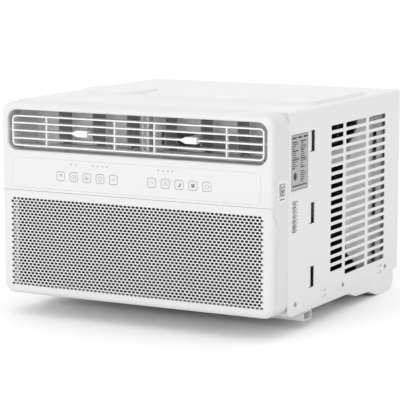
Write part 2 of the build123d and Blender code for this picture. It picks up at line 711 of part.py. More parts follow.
with BuildPart() as scroll_housing:
    extrude(scroll_outline(0), amount=-(SCROLL_REAR - SCROLL_FRONT))
    room = SCROLL_REAR - SCROLL_FRONT - 2 * DUCT_WALL
    inside = extrude(scroll_outline(DUCT_WALL), amount=-room, mode=Mode.PRIVATE)
    add(Pos(0, DUCT_WALL, 0) * inside, mode=Mode.SUBTRACT)
    with BuildSketch(facing(SCROLL_FRONT - 1)):
        with Locations((0, AXIS_UP)):
            Circle(INLET_RADIUS)
        with Locations(((THROAT[0] + THROAT[1]) / 2, (THROAT[2] + THROAT[3]) / 2)):
            Rectangle(THROAT[1] - THROAT[0], THROAT[3] - THROAT[2])
    extrude(amount=-(DUCT_WALL + 2), mode=Mode.SUBTRACT)
    with BuildSketch(facing(SCROLL_FRONT)):
        with Locations((0, AXIS_UP)):
            Circle(11)
    extrude(amount=-(BULKHEAD - SCROLL_FRONT), mode=Mode.SUBTRACT)
scroll_housing.part.label = "scroll_housing"
export_step(scroll_housing.part, "parts/scroll_housing.step")

# Blower wheel: forward-curved blades between a rear disc and a front ring.
WHEEL_FRONT = SCROLL_FRONT + 12.0
WHEEL_REAR = SCROLL_REAR - 8.0
WHEEL_BLADES = 32
with BuildPart() as blower_wheel:
    with BuildSketch(facing(WHEEL_REAR - 2)):
        with Locations((0, AXIS_UP)):
            Circle(WHEEL_RADIUS)
    extrude(amount=-2)
    with BuildSketch(facing(WHEEL_FRONT)):
        with Locations((0, AXIS_UP)):
            Circle(WHEEL_RADIUS)
            Circle(WHEEL_RADIUS - 10, mode=Mode.SUBTRACT)
    extrude(amount=-2)
    with BuildSketch(facing(WHEEL_FRONT + 1)):
        with Locations((0, AXIS_UP)):
            with PolarLocations(WHEEL_RADIUS - 5.5, WHEEL_BLADES):
                Rectangle(10.5, 1.5, rotation=35)
    extrude(amount=-(WHEEL_REAR - WHEEL_FRONT - 2))
    with BuildSketch(facing(WHEEL_REAR - 22)):
        with Locations((0, AXIS_UP)):
            Circle(14)
    extrude(amount=-22)
    with BuildSketch(facing(0)):
        with Locations((0, AXIS_UP)):
            Circle(SHAFT_RADIUS)
    extrude(amount=-DEPTH, mode=Mode.SUBTRACT)
blower_wheel.part.label = "blower_wheel"
export_step(blower_wheel.part, "parts/blower_wheel.step")

# Motor shaft, common to the blower wheel and the condenser fan.
FAN_BACK = 360.0
with BuildPart() as motor_shaft:
    with BuildSketch(facing(WHEEL_REAR - 26)):
        with Locations((0, AXIS_UP)):
            Circle(SHAFT_RADIUS)
    extrude(amount=-(FAN_BACK + 22 - WHEEL_REAR + 26))
motor_shaft.part.label = "motor_shaft"
export_step(motor_shaft.part, "parts/motor_shaft.step")

# Fan motor: round can with two end bells.
MOTOR = (206.0, 286.0, 55.0)  # front, rear, radius
with BuildPart() as fan_motor:
    with BuildSketch(facing(MOTOR[0])):
        with Locations((0, AXIS_UP)):
            Circle(MOTOR[2])
    extrude(amount=-(MOTOR[1] - MOTOR[0]))
    fillet(fan_motor.edges().filter_by(GeomType.CIRCLE), 7.0)
    with BuildSketch(facing(MOTOR[0] - 6)):
        with Locations((0, AXIS_UP)):
            Circle(18)
    extrude(amount=-(MOTOR[1] - MOTOR[0] + 12))
    with BuildSketch(facing(0)):
        with Locations((0, AXIS_UP)):
            Circle(SHAFT_RADIUS + PIN_FIT)
    extrude(amount=-DEPTH, mode=Mode.SUBTRACT)
fan_motor.part.label = "fan_motor"
export_step(fan_motor.part, "parts/fan_motor.step")

# Bracket that carries the motor on the pan.
with BuildPart() as motor_bracket:
    for back in (MOTOR[0] + 16, MOTOR[1] - 19):
        with BuildSketch(facing(back)):
            with BuildLine():
                Polyline((-62, -6.0), (62, -6.0), (62, AXIS_UP - 20), (-62, AXIS_UP - 20), close=True)
            make_face()
            with Locations((0, AXIS_UP)):
                Circle(MOTOR[2] + 0.2, mode=Mode.SUBTRACT)
            with Locations((0, 36)):
                Rectangle(80, 50, mode=Mode.SUBTRACT)
        extrude(amount=-3)
    add(box((-62, 62), (MOTOR[0] + 16, MOTOR[1] - 16), (-7.4, -5.4)))
motor_bracket.part.label = "motor_bracket"
export_step(motor_bracket.part, "parts/motor_bracket.step")

# Bulkhead between the room side and the outdoor side.
BULKHEAD_HALF = WIDTH / 2 - 3.2
BULKHEAD_TOP = 331.0
BULKHEAD_LOW = -7.0
with BuildPart() as bulkhead:
    with BuildSketch(facing(BULKHEAD)):
        with Locations((0, (BULKHEAD_TOP + BULKHEAD_LOW) / 2)):
            RectangleRounded(2 * BULKHEAD_HALF, BULKHEAD_TOP - BULKHEAD_LOW, 4.5)
        with Locations((0, AXIS_UP)):
            Circle(12, mode=Mode.SUBTRACT)
        with Locations((250, 300)):
            Circle(7.5, mode=Mode.SUBTRACT)
        with Locations((254, 24)):
            Circle(3.5, mode=Mode.SUBTRACT)
    extrude(amount=-SHEET)
bulkhead.part.label = "bulkhead"
export_step(bulkhead.part, "parts/bulkhead.step")

def fan_blade(turn):
    """One fan blade, `turn` degrees round the hub: lofted from a steep narrow root to a flat wide tip."""
    hub = Vector(0, FAN_BACK - DEPTH / 2, AXIS_UP + SUMP_DROP)
    out = Vector(cos(turn), 0, sin(turn))
    with BuildPart() as blade:
        for reach, chord, pitch in ((26, 40, 40), (FAN_RADIUS - 7, 76, 18)):
            along = out.cross(Vector(0, 1, 0)) * cos(radians(pitch)) + Vector(0, 1, 0) * sin(radians(pitch))
            with BuildSketch(Plane(origin=hub + out * reach, x_dir=along, z_dir=out)):
                RectangleRounded(chord, 2.0, 0.9)
        loft()
    return blade.part


# Condenser fan: five blades on a hub inside a slinger ring.
with BuildPart() as condenser_fan:
    with BuildSketch(facing(FAN_BACK - 16)):
        with Locations((0, AXIS_UP)):
            Circle(30)
    extrude(amount=-32)
    with BuildSketch(facing(FAN_BACK - 4)):
        with Locations((0, AXIS_UP)):
            Circle(FAN_RADIUS)
            Circle(FAN_RADIUS - 4, mode=Mode.SUBTRACT)
    extrude(amount=-14)
    for spoke in range(5):
        add(fan_blade(radians(72 * spoke + 18)))
    with BuildSketch(facing(0)):
        with Locations((0, AXIS_UP)):
            Circle(SHAFT_RADIUS)
    extrude(amount=-DEPTH, mode=Mode.SUBTRACT)
condenser_fan.part.label = "condenser_fan"
export_step(condenser_fan.part, "parts/condenser_fan.step")

# Fan shroud: open box from the fan to the condenser, with an orifice round the fan.
SHROUD_FRONT = 300.0
SHROUD_REAR = 474.0
SHROUD_HALF = 238.0
FLANGE_HALF = 254.2
FLANGE_HIGH = 303.0
SHROUD_LOW = -6.0
SHROUD_HIGH = 327.0
with BuildPart() as fan_shroud:
    add(box((-SHROUD_HALF, SHROUD_HALF), (SHROUD_FRONT, SHROUD_REAR), (SHROUD_LOW, SHROUD_HIGH)))
    add(
        box(
            (3 - SHROUD_HALF, SHROUD_HALF - 3),
            (SHROUD_FRONT - 1, FAN_BACK - 14),
            (SHROUD_LOW - 1, SHROUD_HIGH - 3),
        ),
        mode=Mode.SUBTRACT,
    )
    add(
        box(
            (3 - SHROUD_HALF, SHROUD_HALF - 3),
            (FAN_BACK - 10, SHROUD_REAR + 1),
            (SHROUD_LOW - 1, SHROUD_HIGH - 3),
        ),
        mode=Mode.SUBTRACT,
    )
    with BuildSketch(facing(SHROUD_FRONT)):
        with Locations((0, AXIS_UP)):
            Circle(FAN_RADIUS + 6)
            Rectangle(2 * FAN_RADIUS - 60, 400, align=(Align.CENTER, Align.MAX))
    extrude(amount=-(FAN_BACK - SHROUD_FRONT), mode=Mode.SUBTRACT)
    # The front of each side wall is swept back at its top and its foot.
    with BuildSketch(beside(-SHROUD_HALF - 1)):
        with BuildLine():
            Polyline(
                (SHROUD_FRONT - 1, SHROUD_HIGH + 1),
                (402, SHROUD_HIGH + 1),
                (402, 282),
                (384, 262),
                (345, 240),
                (345, 90),
                (362, 52),
                (406, 26),
                (406, SHROUD_LOW - 1),
                (SHROUD_FRONT - 1, SHROUD_LOW - 1),
                close=True,
            )
        make_face()
    sweep_back = extrude(amount=5, mode=Mode.PRIVATE)
    for x in (0, 2 * SHROUD_HALF - 3):
        add(Pos(x, 0, 0) * sweep_back, mode=Mode.SUBTRACT)
    # Flanges that step round the return bends of the coil, with upright windows.
    for side in (-1, 1):
        with BuildSketch(level(SHROUD_LOW)):
            with BuildLine():
                Polyline(
                    (side * (SHROUD_HALF - 3), SHROUD_REAR - 1.5),
                    (side * FLANGE_HALF, SHROUD_REAR - 1.5),
                    (side * FLANGE_HALF, SHROUD_REAR + 12),
                    (side * (FLANGE_HALF - 1.5), SHROUD_REAR + 12),
                    (side * (FLANGE_HALF - 1.5), SHROUD_REAR),
                    (side * (SHROUD_HALF - 3), SHROUD_REAR),
                    close=True,
                )
            make_face()
        extrude(amount=FLANGE_HIGH - SHROUD_LOW)
        with BuildSketch(facing(SHROUD_REAR - 2)):
            for low, high in ((20, 60), (107, 162), (208, 264)):
                with Locations((side * 242.3, (low + high) / 2)):
                    Rectangle(7.5, high - low)
        extrude(amount=-3, mode=Mode.SUBTRACT)
fan_shroud.part.label = "fan_shroud"
export_step(fan_shroud.part, "parts/fan_shroud.step")


# Brace from the bulkhead to the shroud, past the compressor.
with BuildPart() as side_brace:
    with BuildSketch(level(220)):
        with BuildLine():
            Polyline(
                (224, BULKHEAD + SHEET),
                (240.2, BULKHEAD + SHEET),
                (240.2, 366),
                (238.2, 366),
                (238.2, BULKHEAD + SHEET + 2),
                (224, BULKHEAD + SHEET + 2),
                close=True,
            )
        make_face()
    extrude(amount=29.5)
side_brace.part.label = "side_brace"
export_step(side_brace.part, "parts/side_brace.step")


def coil(half_width, back, depth, low, high, pitch, tubes):
    """Finned coil: upright fins on level tubes, with return bends outside two end plates."""
    with BuildPart() as finned:
        fins = int((2 * half_width - 30) / pitch)
        with BuildSketch(level(low)):
            with Locations((0, back + depth / 2)):
                with GridLocations(pitch, 1, fins, 1):
                    Rectangle(0.8, depth)
                with GridLocations(2 * half_width - 28, 1, 2, 1):
                    Rectangle(1.5, depth)
        extrude(amount=high - low)
        step = (high - low) / tubes
        with BuildSketch(beside(-half_width + 12)):
            for n in range(tubes):
                with Locations((back + depth / 2, low + step * (n + 0.5))):
                    Circle(4.5)
        extrude(amount=2 * half_width - 24)
        for n in range(tubes - 1):
            side = 1 if n % 2 else -1
            level_of_bend = low + step * (n + 1) + SUMP_DROP
            centre = Vector(side * (half_width - 12), back + depth / 2 - DEPTH / 2, level_of_bend)
            with BuildSketch(beside(side * (half_width - 12))):
                with Locations((back + depth / 2, low + step * (n + 0.5))):
                    Circle(4.5)
            revolve(axis=Axis(centre, (0, -side, 0)), revolution_arc=180)
    return finned.part


# Cooling coil on the room side and the larger heat-rejecting coil at the rear.
evaporator_coil = coil(half_width=232, back=24, depth=34, low=15, high=236, pitch=8, tubes=8)
evaporator_coil.label = "evaporator_coil"
export_step(evaporator_coil, "parts/evaporator_coil.step")

condenser_coil = coil(half_width=246, back=478, depth=44, low=-8, high=326, pitch=8, tubes=12)
condenser_coil.label = "condenser_coil"
export_step(condenser_coil, "parts/condenser_coil.step")

# Tray that catches the condensate under the cooling coil.
with BuildPart() as drain_tray:
    add(box((-240, 240), (20, 60.5), (3.4, 14)))
    add(box((-237.5, 237.5), (22, 58.5), (5.4, 15)), mode=Mode.SUBTRACT)
drain_tray.part.label = "drain_tray"
export_step(drain_tray.part, "parts/drain_tray.step")

# Compressor: welded steel can with a domed top on a three-footed base plate.
COMPRESSOR = (178.0, 254.0, 52.0)  # x, distance behind the front, radius
FOOT_UP = -1.0
FEET = [
    (COMPRESSOR[0] + 66 * cos(radians(angle)), COMPRESSOR[1] + 66 * sin(radians(angle)))
    for angle in (90, 210, 330)
]
with BuildPart() as compressor:
    with BuildSketch(level(FOOT_UP)):
        with Locations(COMPRESSOR[:2]):
            Circle(COMPRESSOR[2])
    extrude(amount=196)
    fillet(compressor.edges().filter_by(GeomType.CIRCLE), 18)
    with BuildSketch(level(FOOT_UP + 4)):
        with BuildLine():
            Polyline(*FEET, close=True)
        make_face()
        offset(amount=13)
        with Locations(*FEET):
            Circle(6.2, mode=Mode.SUBTRACT)
    extrude(amount=3)
    with BuildSketch(level(FOOT_UP + 190)):
        with Locations((COMPRESSOR[0], COMPRESSOR[1])):
            Circle(14)
    extrude(amount=14)
compressor.part.label = "compressor"
export_step(compressor.part, "parts/compressor.step")

# Rubber mounts under the compressor's feet.
with BuildPart() as compressor_mounts:
    with BuildSketch(level(-8.0)):
        with Locations(*FEET):
            Circle(10)
    extrude(amount=FOOT_UP + 12)
    with BuildSketch(level(FOOT_UP + 4)):
        with Locations(*FEET):
            Circle(6)
    extrude(amount=7)
compressor_mounts.part.label = "compressor_mounts"
export_step(compressor_mounts.part, "parts/compressor_mounts.step")

# Suction accumulator beside the compressor.
ACCUMULATOR = (92.0, 254.0, 21.0)
with BuildPart() as accumulator:
    with BuildSketch(level(60)):
        with Locations(ACCUMULATOR[:2]):
            Circle(ACCUMULATOR[2])
    extrude(amount=120)
    fillet(accumulator.edges().filter_by(GeomType.CIRCLE), 14)
    add(box((ACCUMULATOR[0] + 10, COMPRESSOR[0] - COMPRESSOR[2]), (250, 258), (112, 120)))
accumulator.part.label = "accumulator"
export_step(accumulator.part, "parts/accumulator.step")


def tube(points, bend, radius):
    """Round tube along straight runs joined by bends."""
    places = [(x, back - DEPTH / 2, up + SUMP_DROP) for x, back, up in points]
    with BuildPart() as pipe:
        with BuildLine() as route:
            FilletPolyline(*places, radius=bend)
        with BuildSketch(Plane(origin=route.line @ 0, z_dir=route.line % 0)):
            Circle(radius)
        sweep(path=route.line)
    return pipe.part


# Refrigerant tubes.
DISCHARGE = [
    (192, 276, 195),
    (192, 276, 262),
    (252, 276, 262),
    (252, 276, 312),
    (252, 500, 312),
    (234, 500, 312),
]
SUCTION = [
    (ACCUMULATOR[0], ACCUMULATOR[1], 180),
    (ACCUMULATOR[0], ACCUMULATOR[1], 300),
    (250, 254, 300),
    (250, 112, 300),
    (250, 112, 222),
    (250, 41, 222),
    (220, 41, 222),
]
CAPILLARY = [
    (234, 500, 6),
    (257.8, 500, 6),
    (257.8, 500, 24),
    (257.8, 462, 24),
    (254, 440, 24),
    (254, 76, 24),
    (254, 41, 29),
    (220, 41, 29),
]
TUBES = {
    "discharge_tube": (DISCHARGE, 8, 3.0),
    "suction_tube": (SUCTION, 12, 5.0),
    "capillary_tube": (CAPILLARY, 7, 1.5),
}
for name, (points, bend, radius) in TUBES.items():
    pipe = tube(points, bend, radius)
    pipe.label = name
    export_step(pipe, f"parts/{name}.step")

# Electrical box behind the bulkhead, with the run capacitor inside.
BOX = ((-252, -160), (196, 286), (196, 320))
with BuildPart() as control_box:
    add(box(*BOX))
    add(box((-260, -161.2), (197.2, 284.8), (197.2, 318.8)), mode=Mode.SUBTRACT)
control_box.part.label = "control_box"
export_step(control_box.part, "parts/control_box.step")

with BuildPart() as run_capacitor:
    with BuildSketch(level(197.4)):
        with Locations((-200, 240)):
            Circle(22)
    extrude(amount=80)
    with BuildSketch(level(277)):
        with Locations((-206, 240), (-194, 240)):
            Rectangle(5, 1)
    extrude(amount=9)
run_capacitor.part.label = "run_capacitor"
export_step(run_capacitor.part, "parts/run_capacitor.step")

# Rubber plug in the sump's drain hole.
with BuildPart() as drain_plug:
    with BuildSketch(level(-SUMP_DROP)):
        with Locations((-190, 478)):
            Circle(6.9)
    extrude(amount=6)
    with BuildSketch(level(-SUMP_DROP + 2.4)):
        with Locations((-190, 478)):
            Circle(10)
    extrude(amount=2.4)
drain_plug.part.label = "drain_plug"
export_step(drain_plug.part, "parts/drain_plug.step")

# Screws: six through the cabinet's sides into the pan, and four that hold the control board.
with BuildPart() as cabinet_screws:
    for side in (-1, 1):
        with BuildSketch(beside(side * WIDTH / 2)):
            for back, up in SIDE_SCREWS:
                with Locations((back, up)):
                    Circle(4.2)
        extrude(amount=side * 2.0)
        with BuildSketch(beside(side * WIDTH / 2)):
            for back, up in SIDE_SCREWS:
                with Locations((back, up)):
                    Circle(1.55)
        extrude(amount=-side * 8)
cabinet_screws.part.label = "cabinet_screws"
export_step(cabinet_screws.part, "parts/cabinet_screws.step")

with BuildPart() as board_screws:
    with BuildSketch(facing(BOARD_BACK + 1.6)):
        for x, up in BOSSES:
            with Locations((x, up)):
                Circle(3.2)
    extrude(amount=-2)
    with BuildSketch(facing(BOARD_BACK + 1.6)):
        for x, up in BOSSES:
            with Locations((x, up)):
                Circle(1.5)
    extrude(amount=1.5)
board_screws.part.label = "board_screws"
export_step(board_screws.part, "parts/board_screws.step")

# Blank labels on the right side.
LABEL = 0.25
LABELS = {
    "rating_label": (65.0, 131.0, 203.5, 297.6),
    "barcode_label": (67.0, 92.0, 130.0, 192.0),
    "inspection_label": (14.0, 46.0, 191.0, 227.0),
}
for name, (start, stop, low, high) in LABELS.items():
    with BuildPart() as label:
        with BuildSketch(beside(WIDTH / 2)):
            with Locations(((start + stop) / 2, (low + high) / 2)):
                RectangleRounded(stop - start, high - low, 1.5)
        extrude(amount=LABEL)
    label.part.label = name
    export_step(label.part, f"parts/{name}.step")
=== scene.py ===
"""Looks of the window air conditioner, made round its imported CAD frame.

Pieces are worked out in millimetres as x from the middle, distance back from the front face and height up
from the cabinet's lower edge; `at` turns these into the frame's metres.
"""

import json
import math

import bmesh
import bpy
import numpy as np
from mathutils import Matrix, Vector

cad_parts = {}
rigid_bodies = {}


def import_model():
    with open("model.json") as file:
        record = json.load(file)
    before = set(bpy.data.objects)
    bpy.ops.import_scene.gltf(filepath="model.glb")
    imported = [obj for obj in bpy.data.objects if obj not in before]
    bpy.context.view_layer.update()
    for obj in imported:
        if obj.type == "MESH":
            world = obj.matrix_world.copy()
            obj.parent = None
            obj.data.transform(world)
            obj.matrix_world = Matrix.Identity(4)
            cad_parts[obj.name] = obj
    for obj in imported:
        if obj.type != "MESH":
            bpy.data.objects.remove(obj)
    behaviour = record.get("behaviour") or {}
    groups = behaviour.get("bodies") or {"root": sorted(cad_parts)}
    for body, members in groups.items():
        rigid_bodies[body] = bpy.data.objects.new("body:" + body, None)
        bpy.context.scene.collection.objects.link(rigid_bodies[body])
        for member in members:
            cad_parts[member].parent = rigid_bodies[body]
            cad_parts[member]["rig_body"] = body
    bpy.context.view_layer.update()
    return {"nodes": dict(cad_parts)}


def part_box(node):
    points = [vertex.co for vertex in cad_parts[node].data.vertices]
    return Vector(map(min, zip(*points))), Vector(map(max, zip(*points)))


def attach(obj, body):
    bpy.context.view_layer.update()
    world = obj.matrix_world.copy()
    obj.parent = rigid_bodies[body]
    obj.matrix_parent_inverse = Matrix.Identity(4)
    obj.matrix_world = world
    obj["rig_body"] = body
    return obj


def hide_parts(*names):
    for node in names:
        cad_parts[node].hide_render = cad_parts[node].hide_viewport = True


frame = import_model()

# --------------------------------------------------------------------------------------------------------
# Studio. A pale floor far wider than the view, an even white surround and two soft lamps: one at the front, a
# little to the left, that reaches into the louver, and one over the top. The camera stands to the right of
# the unit and a little above.

CAMERA_PLACE = (1.5163, -2.9295, 0.67285)
CAMERA_YAW = 27.6
CAMERA_PITCH = 8.44
CAMERA_LENS = 165.5
SENSOR_WIDTH = 36.0
VIEW_END = 200.0
FLOOR_REACH = 60.0
SURROUND_STRENGTH = 1.04
LAMPS = (  # name, place, aim, size, power
    ("front_lamp", (-0.7, -3.4, 0.95), (0.0, 0.0, 0.2), 1.4, 30.0),
    ("top_lamp", (0.3, 0.4, 3.0), (0.0, 0.0, 0.3), 2.5, 14.0),
)

camera = bpy.data.objects.new("camera", bpy.data.cameras.new("camera"))
camera.data.lens = CAMERA_LENS
camera.data.sensor_width = SENSOR_WIDTH
camera.data.clip_end = VIEW_END
camera.location = CAMERA_PLACE
camera.rotation_euler = (math.radians(90 - CAMERA_PITCH), 0.0, math.radians(CAMERA_YAW))
bpy.context.scene.collection.objects.link(camera)
bpy.context.scene.camera = camera

world = bpy.data.worlds.new("surround")
world.use_nodes = True
world.node_tree.nodes["Background"].inputs["Color"].default_value = (1.0, 1.0, 1.0, 1.0)
world.node_tree.nodes["Background"].inputs["Strength"].default_value = SURROUND_STRENGTH
bpy.context.scene.world = world
bpy.context.scene.view_settings.view_transform = "Standard"
bpy.context.scene.view_settings.look = "None"

for name, place, aim, size, power in LAMPS:
    lamp = bpy.data.objects.new(name, bpy.data.lights.new(name, "AREA"))
    lamp.data.size = size
    lamp.data.energy = power
    lamp.location = place
    reach = np.subtract(aim, place)
    fall = math.acos(reach[2] / np.linalg.norm(reach))
    lamp.rotation_euler = (math.pi - fall, 0.0, math.atan2(reach[1], reach[0]) - math.pi / 2)
    bpy.context.scene.collection.objects.link(lamp)


class Wire:
    """A shader value: arithmetic on it adds one Math node for each operator."""

    def __init__(self, finish, socket):
        self.finish = finish
        self.socket = socket

    def math(self, operation, *values):
        return self.finish.node("ShaderNodeMath", {"operation": operation}, *values)

    def __add__(self, other):
        return self.math("ADD", self, other)

    def __radd__(self, other):
        return self.math("ADD", other, self)

    def __sub__(self, other):
        return self.math("SUBTRACT", self, other)

    def __rsub__(self, other):
        return self.math("SUBTRACT", other, self)

    def __mul__(self, other):
        return self.math("MULTIPLY", self, other)

    def __rmul__(self, other):
        return self.math("MULTIPLY", other, self)

    def __mod__(self, other):
        return self.math("FLOORED_MODULO", self, other)

    def __lt__(self, other):
        return self.math("LESS_THAN", self, other)

    def __abs__(self):
        return self.math("ABSOLUTE", self)


class Finish:
    """A node material under one Principled shader, whose plain values are set on its own sockets."""

    def __init__(self, name, color, roughness, **plain):
        self.material = bpy.data.materials.new(name)
        self.material.use_nodes = True
        self.tree = self.material.node_tree
        self.shader = self.tree.nodes["Principled BSDF"]
        self.shader.inputs["Base Color"].default_value = (*color, 1.0)
        self.shader.inputs["Roughness"].default_value = roughness
        for socket, value in plain.items():
            self.shader.inputs[socket.replace("_", " ")].default_value = value

    def node(self, kind, settings, *values, **named):
        """Adds a node: its settings, then the values or wires of its sockets. Gives its first live output."""
        node = self.tree.nodes.new(kind)
        for setting, value in settings.items():
            setattr(node, setting, value)
        live = [socket for socket in node.inputs if socket.enabled]
        targets = list(zip(live, values))
        targets += [(node.inputs[socket.replace("_", " ")], value) for socket, value in named.items()]
        for socket, value in targets:
            if isinstance(value, Wire):
                self.tree.links.new(value.socket, socket)
            else:
                socket.default_value = value
        return Wire(self, next(output for output in node.outputs if output.enabled))

    def feed(self, socket, wire):
        self.tree.links.new(wire.socket, self.shader.inputs[socket])

    def place(self, stretch=(1.0, 1.0, 1.0)):
        """Object coordinates, stretched."""
        coordinates = self.node("ShaderNodeTexCoord", {})
        coordinates.socket = coordinates.socket.node.outputs["Object"]
        return self.node("ShaderNodeMapping", {}, Vector=coordinates, Scale=stretch)

    def axes(self, wire):
        """The three parts of a vector, as wires."""
        parts = self.node("ShaderNodeSeparateXYZ", {}, wire).socket.node.outputs
        return [Wire(self, part) for part in parts]

    def noise(self, scale, detail=2.0, stretch=(1.0, 1.0, 1.0)):
        return self.node("ShaderNodeTexNoise", {}, Vector=self.place(stretch), Scale=scale, Detail=detail)

    def blend(self, mask, first, second):
        """Mixes two colours by a mask."""
        colors = [value if isinstance(value, Wire) else (*value, 1.0) for value in (first, second)]
        return self.node("ShaderNodeMix", {"data_type": "RGBA"}, mask, *colors)

    def bump(self, height, distance, strength=1.0):
        bumped = self.node("ShaderNodeBump", {}, Height=height, Distance=distance, Strength=strength)
        self.feed("Normal", bumped)


def shade(color, factor):
    """A colour made darker or lighter by a factor."""
    return tuple(min(1.0, part * factor) for part in color)


def grained(name, color, roughness, grain=1.1, depth=0.03, drift=0.02, **plain):
    """A moulded, coated or cast finish: grain of that size and depth in millimetres under a faint, slow drift
    of colour and gloss."""
    finish = Finish(name, color, roughness, **plain)
    slow = finish.noise(9.0, 3.0)
    finish.feed("Base Color", finish.blend(slow, shade(color, 1 - drift), shade(color, 1 + drift / 2)))
    finish.feed("Roughness", finish.noise(60.0, 4.0) * 0.12 + (roughness - 0.06))
    finish.bump(finish.noise(1000.0 / grain), depth / 1000)
    return finish.material


floor_mesh = bpy.data.meshes.new("floor")
floor_corners = [(-FLOOR_REACH, -FLOOR_REACH, 0), (FLOOR_REACH, -FLOOR_REACH, 0)]
floor_corners += [(FLOOR_REACH, FLOOR_REACH, 0), (-FLOOR_REACH, FLOOR_REACH, 0)]
floor_mesh.from_pydata(floor_corners, [], [(0, 1, 2, 3)])
floor_mesh.materials.append(grained("floor_paint", (0.97, 0.97, 0.97), 0.9, drift=0.0))
floor = bpy.data.objects.new("floor", floor_mesh)
bpy.context.scene.collection.objects.link(floor)

# --------------------------------------------------------------------------------------------------------
# Cabinet. A cover of thin steel folded over the unit, with vent slots, side-curtain slots and a raised top,
# a pan under it and a hollow rail for the window sill. All have the same off-white powder coat, baked on.

CABINET_WHITE = (0.69, 0.69, 0.688)
BROKEN_EDGE = 0.0003
SMOOTH_ANGLE = 40.0
HALF_DEPTH = 272.5  # from the front face to the frame's middle
SUMP_DROP = 38.0  # from the frame's lowest point to the cabinet's foot
SIDE = 262.5  # from the middle to the cabinet's side


def at(x, back, up):
    """Metres in the frame from millimetres on the unit: x, back from the front, up from the cabinet's foot."""
    x, back, up = np.broadcast_arrays(*(np.asarray(value, float) for value in (x, back, up)))
    return np.stack([x, back - HALF_DEPTH, up + SUMP_DROP], -1) / 1000


def finish_edges(mesh):
    """Smooth shading that breaks at sharp edges."""
    mesh.shade_smooth()
    mesh.set_sharp_from_angle(angle=math.radians(SMOOTH_ANGLE))


def skin(node, *materials, bevel=BROKEN_EDGE, choose=None):
    """A CAD node's own surface, welded, its flat faces joined, its curves smooth and its edges just broken.
    `choose` says from the faces' centres which of the materials each face has."""
    body = frame["nodes"][node]["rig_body"]
    mesh = frame["nodes"][node].data.copy()
    mesh.materials.clear()
    for material in materials:
        mesh.materials.append(material)
    if mesh.attributes.get("custom_normal"):
        mesh.attributes.remove(mesh.attributes["custom_normal"])
    welded = bmesh.new()
    welded.from_mesh(mesh)
    bmesh.ops.remove_doubles(welded, verts=welded.verts, dist=2e-6)
    bmesh.ops.dissolve_limit(welded, angle_limit=0.01, verts=welded.verts, edges=welded.edges)
    welded.to_mesh(mesh)
    welded.free()
    if choose:
        centres = np.empty(len(mesh.polygons) * 3)
        mesh.polygons.foreach_get("center", centres)
        mesh.polygons.foreach_set("material_index", choose(centres.reshape(-1, 3)).astype(int))
    finish_edges(mesh)
    piece = bpy.data.objects.new(node + "_skin", mesh)
    bpy.context.scene.collection.objects.link(piece)
    if bevel:
        edge = piece.modifiers.new("broken_edges", "BEVEL")
        edge.width = bevel
        edge.segments = 2
        edge.limit_method = "ANGLE"
        edge.angle_limit = math.radians(SMOOTH_ANGLE)
        edge.harden_normals = True
    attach(piece, body)
    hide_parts(node)
    return piece


cabinet_coat = grained("cabinet_coat", CABINET_WHITE, 0.42, grain=1.6, depth=0.04, Coat_Weight=0.08)
for node in ("cabinet_wrap", "base_pan", "sill_rail"):
    skin(node, cabinet_coat)

# --------------------------------------------------------------------------------------------------------
# Screws. Six pan-head screws hold the cover to the pan. Each has a rolled flange and a groove round its crown,
# in zinc-plated steel. Its cross-shaped driving recess is a flat near-black cross over the crown: painted
# shade.

SCREW_PLACES = [(84, 11.8), (285, 11.1), (482.5, 11.7)]  # back, up
HEAD_PROFILE = [(0.0, 1.9), (1.2, 1.9), (2.4, 1.75), (3.0, 1.2), (3.1, 0.35), (3.5, 0.3)]  # radius, height
HEAD_PROFILE += [(4.0, 0.55), (4.2, 0.3), (4.2, 0.0), (0.0, 0.0)]
HEAD_SIDES = 24
CROSS_REACH, CROSS_WIDTH = 1.7, 0.35
CROSS_LIFT = 1.92  # just over the crown of the head


def build(name, points, faces, material, body, stands_for=(), bevel=0.0, wall=0.0):
    """A new piece from points in metres and faces as rows of point numbers."""
    mesh = bpy.data.meshes.new(name)
    mesh.from_pydata(np.asarray(points).reshape(-1, 3).tolist(), [], [list(map(int, face)) for face in faces])
    mesh.materials.append(material)
    welded = bmesh.new()
    welded.from_mesh(mesh)
    bmesh.ops.remove_doubles(welded, verts=welded.verts, dist=1e-6)
    welded.to_mesh(mesh)
    welded.free()
    finish_edges(mesh)
    piece = bpy.data.objects.new(name, mesh)
    bpy.context.scene.collection.objects.link(piece)
    if wall:
        thick = piece.modifiers.new("wall", "SOLIDIFY")
        thick.thickness = wall
        thick.offset = 1.0
    if bevel:
        edge = piece.modifiers.new("broken_edges", "BEVEL")
        edge.width = bevel
        edge.segments = 2
        edge.limit_method = "ANGLE"
        edge.angle_limit = math.radians(SMOOTH_ANGLE)
    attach(piece, body)
    if stands_for:
        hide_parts(*stands_for)
    return piece


def grid_faces(rows, columns):
    """Quads of a grid of points, row after row."""
    corner = (np.arange(rows - 1)[:, None] * columns + np.arange(columns - 1)[None, :]).ravel()
    return np.stack([corner, corner + 1, corner + columns + 1, corner + columns], 1)


def turned(profile, sides):
    """A turned shape: each (radius, height) of the profile carried once round the axis. The axis is the third
    coordinate."""
    radius, height = np.array(profile, float).T
    turn = np.linspace(0, 2 * np.pi, sides + 1)[:, None]
    return np.stack([radius * np.cos(turn), radius * np.sin(turn), height + 0 * turn], -1)


